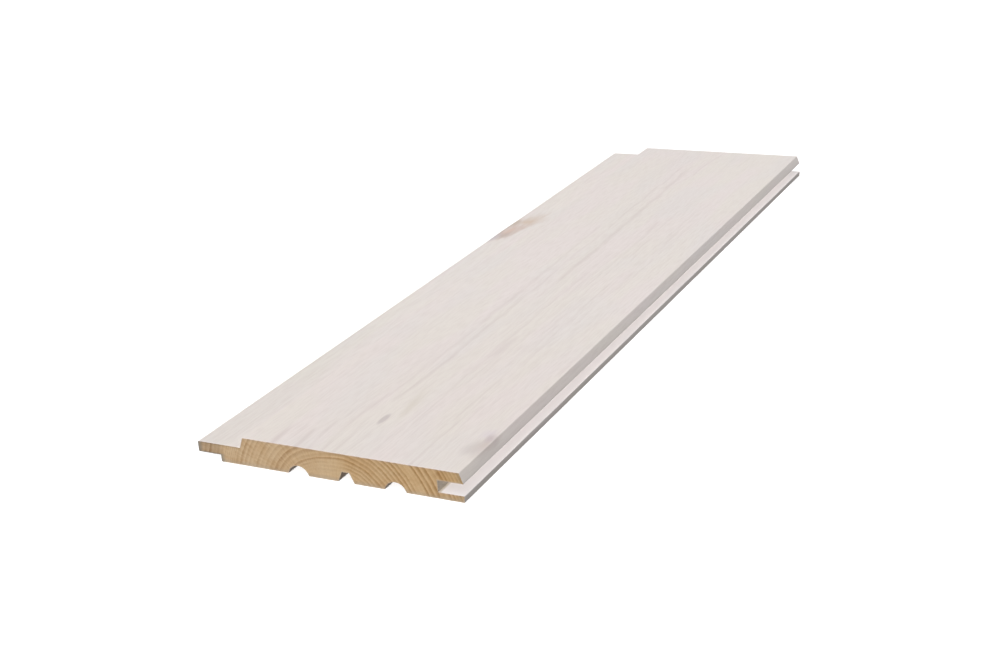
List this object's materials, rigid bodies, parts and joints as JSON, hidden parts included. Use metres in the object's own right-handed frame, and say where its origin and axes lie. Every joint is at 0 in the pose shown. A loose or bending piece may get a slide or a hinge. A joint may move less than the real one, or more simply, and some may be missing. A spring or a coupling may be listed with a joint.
{
  "type": "tongue and groove board",
  "caption": "Planed softwood panel board with a tongue along its left edge and a matching groove along its right, for lining walls and ceilings side by side.",
  "frame": {"origin": "middle of the back, on the plane that the board lies on", "axes": "+X across the width from the tongue to the groove, +Y along the grain, +Z from the back to the face"},
  "size_m": [0.12, 0.44, 0.012],
  "materials": {
    "glazed_softwood": "satin white glaze that lets the grain show through, on every long surface; both ends are bare sawn wood"
  },
  "bodies": {
    "root": {"board": "glazed_softwood"}
  },
  "joints": []
}
